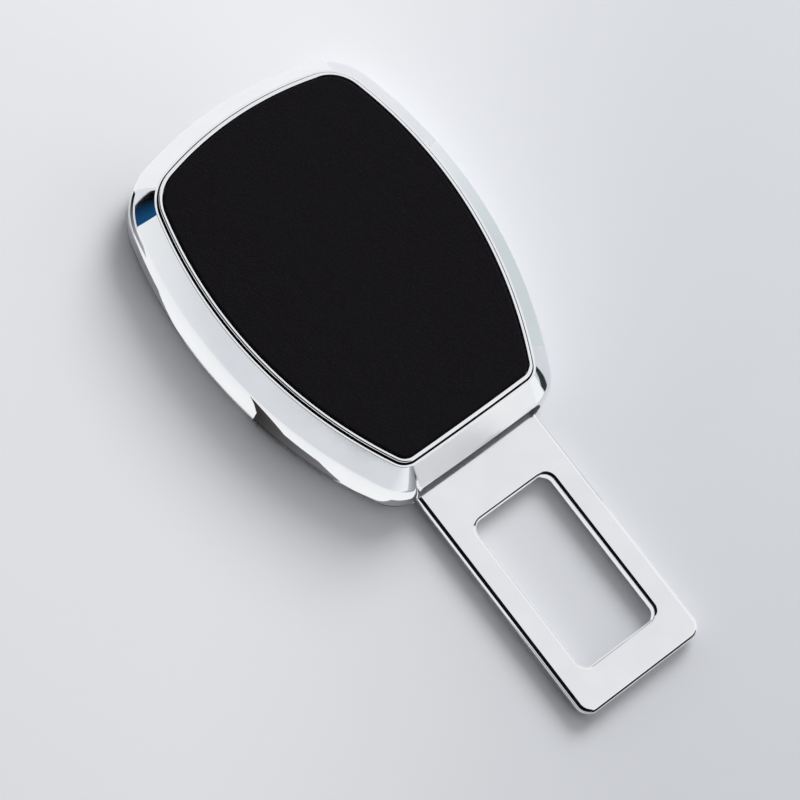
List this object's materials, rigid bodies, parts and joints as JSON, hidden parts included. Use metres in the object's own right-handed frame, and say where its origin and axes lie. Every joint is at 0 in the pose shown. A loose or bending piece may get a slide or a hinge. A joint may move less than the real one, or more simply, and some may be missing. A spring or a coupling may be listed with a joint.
{
  "type": "seat belt extender",
  "caption": "Flat latch tongue with a rectangular window, held in a shield-shaped chrome head with a black leather inlay.",
  "frame": {"origin": "middle of the part seen from above, on the plane of the head's back", "axes": "+Z out of the leather, +Y toward the head's wide end (the tongue points along -Y), +X across the head"},
  "size_m": [0.052, 0.1124, 0.0131],
  "materials": {
    "shell_chrome": "polished chrome plate on die-cast zinc",
    "cover_chrome": "polished chrome plate on die-cast zinc",
    "tongue_chrome": "polished chrome plate on stamped steel",
    "bezel_chrome": "bright plated thin metal",
    "leather": "black leather, fine grain, low sheen",
    "black_plastic": "moulded black plastic",
    "board": "stiff fibre board",
    "tape": "adhesive film",
    "screw_steel": "zinc-plated steel"
  },
  "bodies": {
    "root": {"front_shell": "shell_chrome", "rear_cover": "cover_chrome", "tongue_plate": "tongue_chrome", "mouth_block": "black_plastic", "inlay_bezel": "bezel_chrome", "bezel_tape": "tape", "inlay_tape": "tape", "inlay_backing": "board", "leather_inlay": "leather", "tongue_screws": "screw_steel", "cover_screws": "screw_steel"}
  },
  "joints": []
}
